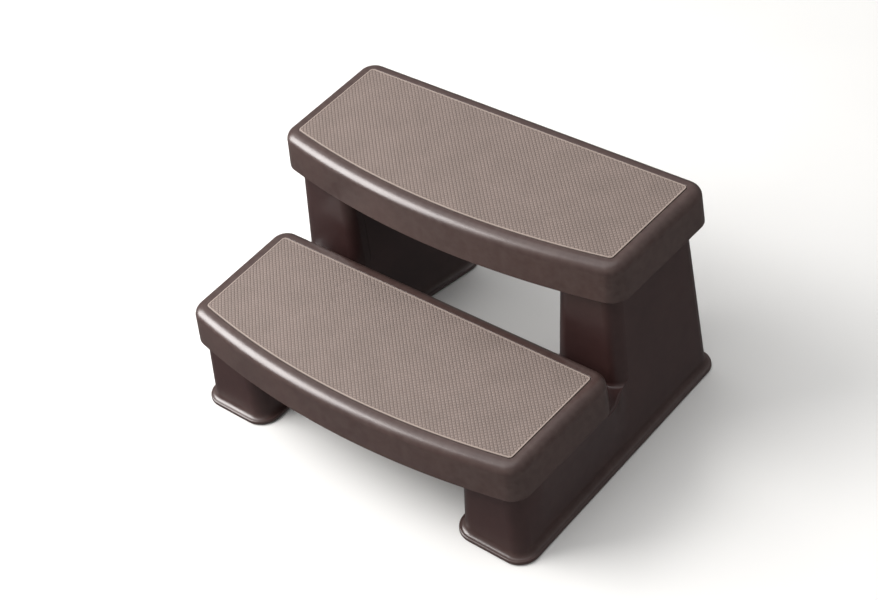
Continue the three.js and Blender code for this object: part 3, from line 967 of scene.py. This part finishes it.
def place_screws(steel):
    """The screws are turned by different amounts, as driven ones are."""
    screw = smoothed(combine(screw_head(), screw_shank(), "UNION"))
    for level in ("lower", "upper"):
        for side in ("left", "right"):
            for end in ("front", "rear"):
                node = f"{level}_tread_screw_{side}_{end}"
                low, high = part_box(node)
                spot = ((low.x + high.x) / 2, (low.y + high.y) / 2, low.z + SCREW_SEAT)
                turn = math.radians(37) * (len(node) + (end == "front") + 2 * (level == "upper"))
                place(node, "screw", screw, steel, "steel", spot, turn)


def place_feet(rubber):
    foot = foot_mesh()
    for side in ("left", "right"):
        for end in ("front", "rear"):
            for flank in ("inner", "outer"):
                node = f"foot_{side}_{end}_{flank}"
                low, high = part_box(node)
                spot = ((low.x + high.x) / 2, (low.y + high.y) / 2, 0)
                place(node, "pad", foot, rubber, "rubber", spot)


# ---- Studio ----------------------------------------------------------------------------------

FLOOR_HALF = 12
BACKDROP = 0.95  # brightness of the world as the camera sees it
SKY_LOW = 0.13  # its brightness as a light, level with the horizon
SKY_HIGH = 0.5  # and overhead
SKY_TOP = 0.8  # upward part of the direction from which it is as bright as overhead
LIT_POINT = (0, 0, 0.25)
LIGHT_COLOUR = (1, 0.99, 0.98)
SUN_POWER = 1.3
SUN_SPREAD = 70  # degrees
SUN_WAY = (0.3, 0.1, -1)
CAMERA_PLACE = (1.729, -1.757, 2.449)
CAMERA_UP = (-0.2545, 0.4749, 0.8425)
CAMERA_LENS = 70


def add_floor():
    """Kept out of reflections, so that the steps' sides stay as dark as their colour."""
    half = FLOOR_HALF
    corners = [(-half, -half, 0), (half, -half, 0), (half, half, 0), (-half, half, 0)]
    mesh = bpy.data.meshes.new("studio_floor")
    mesh.from_pydata(corners, [], [(0, 1, 2, 3)])
    mesh.materials.append(floor_material())
    floor = bpy.data.objects.new("studio_floor", mesh)
    bpy.context.scene.collection.objects.link(floor)
    floor.visible_glossy = False


def add_lamp(name, light, way):
    lamp = bpy.data.objects.new(name, light)
    lamp.rotation_euler = Vector(way).to_track_quat("-Z", "Y").to_euler()
    bpy.context.scene.collection.objects.link(lamp)
    return lamp


def add_soft_box(name, location, size, power, sheen_only=False):
    """One for sheen only is seen in reflections; any other only lights surfaces."""
    light = bpy.data.lights.new(name, "AREA")
    light.shape = "RECTANGLE"
    light.size, light.size_y = size
    light.energy = power
    light.color = LIGHT_COLOUR
    lamp = add_lamp(name, light, Vector(LIT_POINT) - Vector(location))
    lamp.location = location
    lamp.visible_diffuse = not sheen_only
    lamp.visible_glossy = sheen_only


def add_sun():
    """A broad overhead light that keeps the whole floor pale."""
    light = bpy.data.lights.new("overhead", "SUN")
    light.energy = SUN_POWER
    light.angle = math.radians(SUN_SPREAD)
    add_lamp("overhead", light, SUN_WAY)


def add_world():
    """White to the camera; what lights the object is pale overhead and dark low down."""
    n = Nodes(bpy.data.worlds.new("studio"))
    way = n.add("ShaderNodeTexCoord").outputs["Generated"]
    sky = n.ranged(n.axis("Z", way), 0, SKY_TOP, SKY_LOW, SKY_HIGH)
    ray = n.add("ShaderNodeLightPath").outputs["Is Camera Ray"]
    background = n.tree.nodes["Background"]
    n.feed(background.inputs["Color"], (1, 1, 1, 1))
    n.feed(background.inputs["Strength"], n.ranged(ray, 0, 1, sky, BACKDROP))
    bpy.context.scene.world = n.owner


def add_camera():
    """Looks down at the middle of the steps from high on their right, in front."""
    low, high = CAD_BOX
    centre = (Vector(low) + Vector(high)) / 2
    location = Vector(CAMERA_PLACE)
    back = (location - centre).normalized()
    right = Vector(CAMERA_UP).cross(back).normalized()
    up = back.cross(right)
    data = bpy.data.cameras.new("camera")
    data.sensor_width = 36
    data.lens = CAMERA_LENS
    data.clip_start = 0.05
    camera = bpy.data.objects.new("camera", data)
    axes = Matrix((right, up, back)).transposed()
    camera.matrix_world = Matrix.Translation(location) @ axes.to_4x4()
    bpy.context.scene.collection.objects.link(camera)
    bpy.context.scene.camera = camera


body = body_material()
place_frames(body)
place_treads(body, mat_material())
place_screws(steel_material())
place_feet(rubber_material())
add_floor()
add_world()
add_soft_box("sheen", (-2.3, -1.6, 1.8), (2.2, 2.4), 250, sheen_only=True)
add_soft_box("key", (-2.3, -1.6, 2.6), (2.4, 2.4), 150)
add_sun()
add_camera()
bpy.context.scene.view_settings.view_transform = "Standard"
